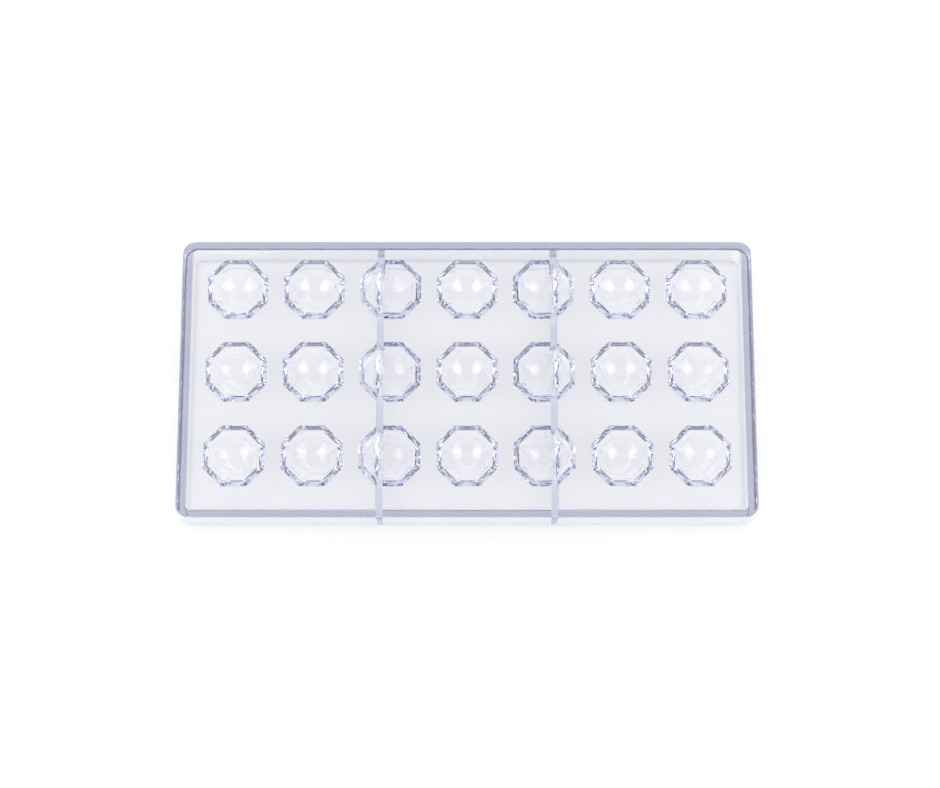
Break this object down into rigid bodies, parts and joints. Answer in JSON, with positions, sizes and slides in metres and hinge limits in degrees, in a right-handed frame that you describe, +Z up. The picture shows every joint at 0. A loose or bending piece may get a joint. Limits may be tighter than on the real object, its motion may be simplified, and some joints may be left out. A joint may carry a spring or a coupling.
{
  "type": "chocolate mould",
  "caption": "Clear rigid tray mould for pralines: flat top plate with rows of faceted octagonal hollows, a straight skirt all round and cross ribs underneath.",
  "frame": {"origin": "middle of the plane that the skirt's foot stands on", "axes": "+X along the tray's long side, +Y towards the long side nearest the hollows, +Z up out of the hollows' mouths"},
  "size_m": [0.275, 0.135, 0.024],
  "materials": {
    "clear_plastic": "clear polished polycarbonate with a faint blue-violet tint"
  },
  "bodies": {
    "root": {"chocolate_mould": "clear_plastic"}
  },
  "joints": []
}
